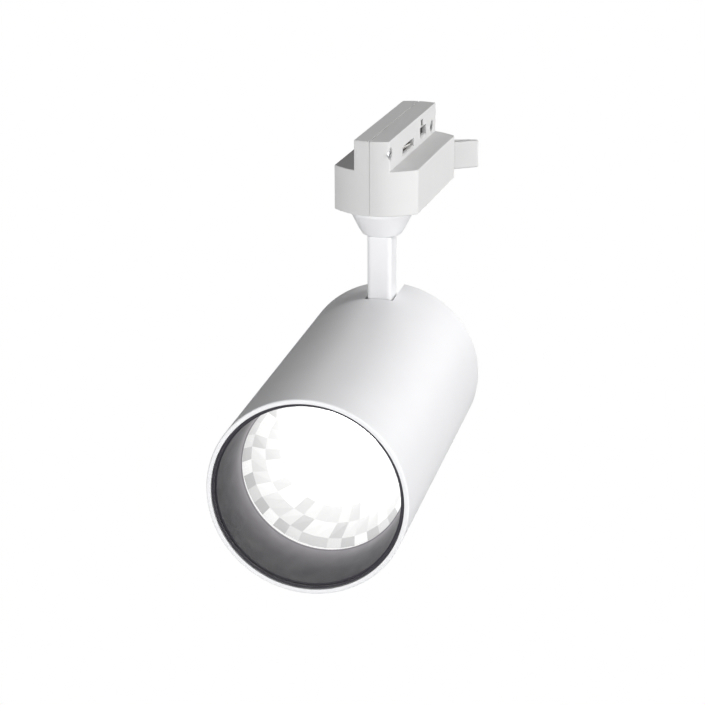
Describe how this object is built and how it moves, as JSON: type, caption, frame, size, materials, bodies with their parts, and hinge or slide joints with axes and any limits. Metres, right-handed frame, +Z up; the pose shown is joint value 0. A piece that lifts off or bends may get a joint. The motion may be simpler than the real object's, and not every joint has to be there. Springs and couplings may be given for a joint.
{
  "type": "track spotlight",
  "caption": "Track spotlight: an adapter with a turning lock lever carries a swivelling stem, and a cylindrical lamp with a recessed optic tilts on its end.",
  "frame": {"origin": "on the top face of the adapter's tongue, on the axis that the stem swivels about", "axes": "+Z up into the track, +Y along the track from the stem end of the adapter to its lever end, +X to the side where the open lever stands out; the lamp opens towards -Y, and at rest it is swivelled 3 degrees off the track, as in the picture"},
  "size_m": [0.0827, 0.1965, 0.1426],
  "materials": {
    "adapter_plastic": "satin",
    "cover_plastic": "satin",
    "white_paint": "satin",
    "black_plastic": "satin",
    "nylon": "matte",
    "clear_glass": "polished",
    "reflector_mirror": "polished",
    "phosphor": "matte",
    "white_ceramic": "satin",
    "cast_aluminium": "satin",
    "zinc_steel": "satin",
    "tinned_brass": "satin",
    "brass": "satin",
    "circuit_board": "satin",
    "winding_tape": "satin",
    "capacitor_can": "satin",
    "lead_brown": "satin",
    "lead_blue": "satin",
    "lead_red": "satin",
    "lead_black": "satin"
  },
  "bodies": {
    "adapter": {"adapter_shell_right": "adapter_plastic", "adapter_shell_left": "adapter_plastic", "adapter_screw_near": "zinc_steel", "adapter_screw_far": "zinc_steel", "contact_carrier": "nylon", "adapter_lead_live": "lead_brown", "adapter_lead_neutral": "lead_blue"},
    "lock": {"lock_lever": "adapter_plastic", "lock_wing": "zinc_steel"},
    "live_contact": {"contact_live": "tinned_brass"},
    "neutral_contact": {"contact_neutral": "tinned_brass"},
    "stem": {"stem_arm": "white_paint", "swivel_cup": "cover_plastic", "swivel_washer": "nylon", "swivel_spring_washer": "zinc_steel", "swivel_nut": "brass", "stem_lead_live": "lead_brown", "stem_lead_neutral": "lead_blue"},
    "lamp": {"housing_tube": "white_paint", "rear_cap": "white_paint", "baffle": "black_plastic", "cover_glass": "clear_glass", "reflector": "reflector_mirror", "led_emitter": "phosphor", "led_board": "white_ceramic", "led_holder": "cover_plastic", "heat_sink": "cast_aluminium", "chassis_plate": "cast_aluminium", "hinge_screw": "zinc_steel", "hinge_spring_washer": "zinc_steel", "hinge_nut": "zinc_steel", "hinge_washer_right": "nylon", "hinge_washer_left": "nylon", "hinge_bracket_left": "zinc_steel", "hinge_bracket_right": "zinc_steel", "driver_case": "cover_plastic", "driver_lid": "cover_plastic", "driver_board": "circuit_board", "driver_transformer": "winding_tape", "driver_capacitor": "capacitor_can", "driver_terminal": "nylon", "led_lead_positive": "lead_red", "led_lead_negative": "lead_black", "rear_cap_screw_left": "zinc_steel", "rear_cap_screw_right": "zinc_steel", "bracket_screw_left": "zinc_steel", "bracket_screw_right": "zinc_steel", "chassis_screw_left": "zinc_steel", "chassis_screw_right": "zinc_steel", "led_holder_screw_left": "zinc_steel", "led_holder_screw_right": "zinc_steel", "driver_screw_left": "zinc_steel", "driver_screw_right": "zinc_steel"}
  },
  "joints": [
    {"name": "lock_turn", "type": "hinge", "parent": "adapter", "child": "lock", "pos_m": [0, 0.041, -0.02], "axis": [0, 0, 1], "range_deg": [0, 80]},
    {"name": "live_contact_slide", "type": "slide", "parent": "adapter", "child": "live_contact", "axis": [1, 0, 0], "range_m": [0, 0.0019]},
    {"name": "neutral_contact_slide", "type": "slide", "parent": "adapter", "child": "neutral_contact", "axis": [-1, 0, 0], "range_m": [0, 0.0019]},
    {"name": "swivel", "type": "hinge", "parent": "adapter", "child": "stem", "pos_m": [0, 0, -0.03], "axis": [0, 0, 1], "range_deg": [-167, 167]},
    {"name": "tilt", "type": "hinge", "parent": "stem", "child": "lamp", "pos_m": [0, 0, -0.0816], "axis": [0.9986, 0.0523, 0], "range_deg": [0, 90]}
  ],
  "couplings": [
    {"joint": "live_contact_slide", "follows": "lock_turn", "m_per_rad": 0.00136},
    {"joint": "neutral_contact_slide", "follows": "lock_turn", "m_per_rad": 0.00136}
  ]
}
